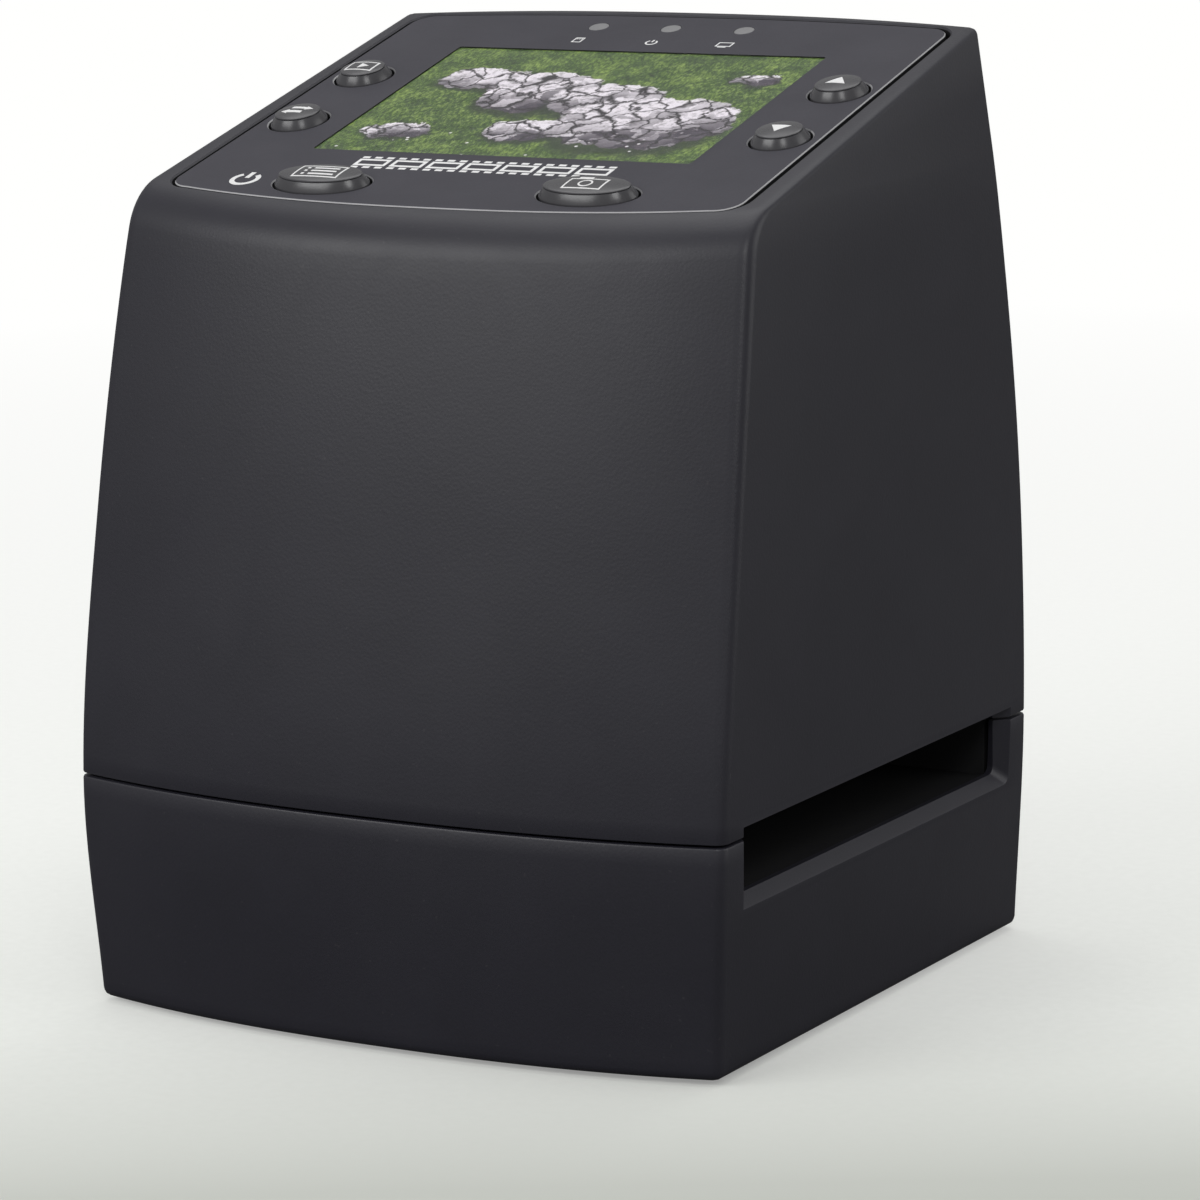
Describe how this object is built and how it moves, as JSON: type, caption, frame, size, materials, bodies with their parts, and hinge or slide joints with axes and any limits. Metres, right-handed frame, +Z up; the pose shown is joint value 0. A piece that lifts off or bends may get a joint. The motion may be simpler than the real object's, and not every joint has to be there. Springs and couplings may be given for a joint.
{
  "type": "film negative scanner",
  "caption": "Upright desktop film scanner: tapered housing, slanted panel with colour screen and push keys, and a slot through both sides for a film holder.",
  "frame": {"origin": "on the table, under the middle of the casing", "axes": "+Z up, the bowed front faces -Y, +X to the right of someone facing the front"},
  "size_m": [0.0862, 0.0862, 0.112],
  "materials": {
    "casing": "fine satin, dark grey",
    "panel": "satin, mid grey",
    "key": "semi-gloss, near black",
    "clear_pane": "clear",
    "display": "display face",
    "lamp_window": "frosted grey",
    "board": "solder mask",
    "inner": "matte black",
    "white": "matte white",
    "metal": "plated",
    "foot": "matte",
    "lens": "polished",
    "ribbon": "polyimide film"
  },
  "bodies": {
    "casing": {"upper_housing": "casing", "base_housing": "casing", "control_panel": "panel", "display_window": "clear_pane", "lcd_module": "display", "play_switch": "metal", "flip_switch": "metal", "up_switch": "metal", "down_switch": "metal", "menu_switch": "metal", "capture_switch": "metal", "light_pipe_sd": "lamp_window", "light_pipe_power": "lamp_window", "light_pipe_pc": "lamp_window", "indicator_led_sd": "white", "indicator_led_power": "white", "indicator_led_pc": "white", "key_board": "board", "key_board_screw_left": "metal", "key_board_screw_right": "metal", "housing_screw_front_left": "metal", "housing_screw_front_right": "metal", "housing_screw_back_left": "metal", "housing_screw_back_right": "metal", "tunnel_screw_left": "metal", "tunnel_screw_right": "metal", "foot_front_left": "foot", "foot_front_right": "foot", "foot_back_left": "foot", "foot_back_right": "foot", "guide_tray": "inner", "detent_spring": "metal", "gate_frame": "inner", "backlight_board": "board", "backlight_reflector": "white", "backlight_diffuser": "white", "camera_tunnel": "inner", "lens_barrel": "inner", "lens_element": "lens", "sensor_board": "board", "image_sensor": "inner", "main_board": "board", "sd_card_socket": "metal", "usb_socket": "metal", "video_out_jack": "inner", "display_ribbon": "ribbon", "sensor_ribbon": "ribbon"},
    "play_key": {"play_button": "key", "play_plunger": "inner"},
    "flip_key": {"flip_button": "key", "flip_plunger": "inner"},
    "up_key": {"up_button": "key", "up_plunger": "inner"},
    "down_key": {"down_button": "key", "down_plunger": "inner"},
    "menu_key": {"menu_button": "key", "menu_plunger": "inner"},
    "capture_key": {"capture_button": "key", "capture_plunger": "inner"},
    "click_stop": {"detent_plunger": "white"}
  },
  "joints": [
    {"name": "play_press", "type": "slide", "parent": "casing", "child": "play_key", "axis": [0, 0.2622, -0.965], "range_m": [0, 0.0005], "stiffness_N_per_m": 800},
    {"name": "flip_press", "type": "slide", "parent": "casing", "child": "flip_key", "axis": [0, 0.2622, -0.965], "range_m": [0, 0.0005], "stiffness_N_per_m": 800},
    {"name": "up_press", "type": "slide", "parent": "casing", "child": "up_key", "axis": [0, 0.2622, -0.965], "range_m": [0, 0.0005], "stiffness_N_per_m": 800},
    {"name": "down_press", "type": "slide", "parent": "casing", "child": "down_key", "axis": [0, 0.2622, -0.965], "range_m": [0, 0.0005], "stiffness_N_per_m": 800},
    {"name": "menu_press", "type": "slide", "parent": "casing", "child": "menu_key", "axis": [0, 0.2622, -0.965], "range_m": [0, 0.0005], "stiffness_N_per_m": 800},
    {"name": "capture_press", "type": "slide", "parent": "casing", "child": "capture_key", "axis": [0, 0.2622, -0.965], "range_m": [0, 0.0005], "stiffness_N_per_m": 800},
    {"name": "click_stop_slide", "type": "slide", "parent": "casing", "child": "click_stop", "axis": [0, 0, -1], "range_m": [0, 0.0007], "stiffness_N_per_m": 400, "deforming": ["detent_spring"]}
  ]
}
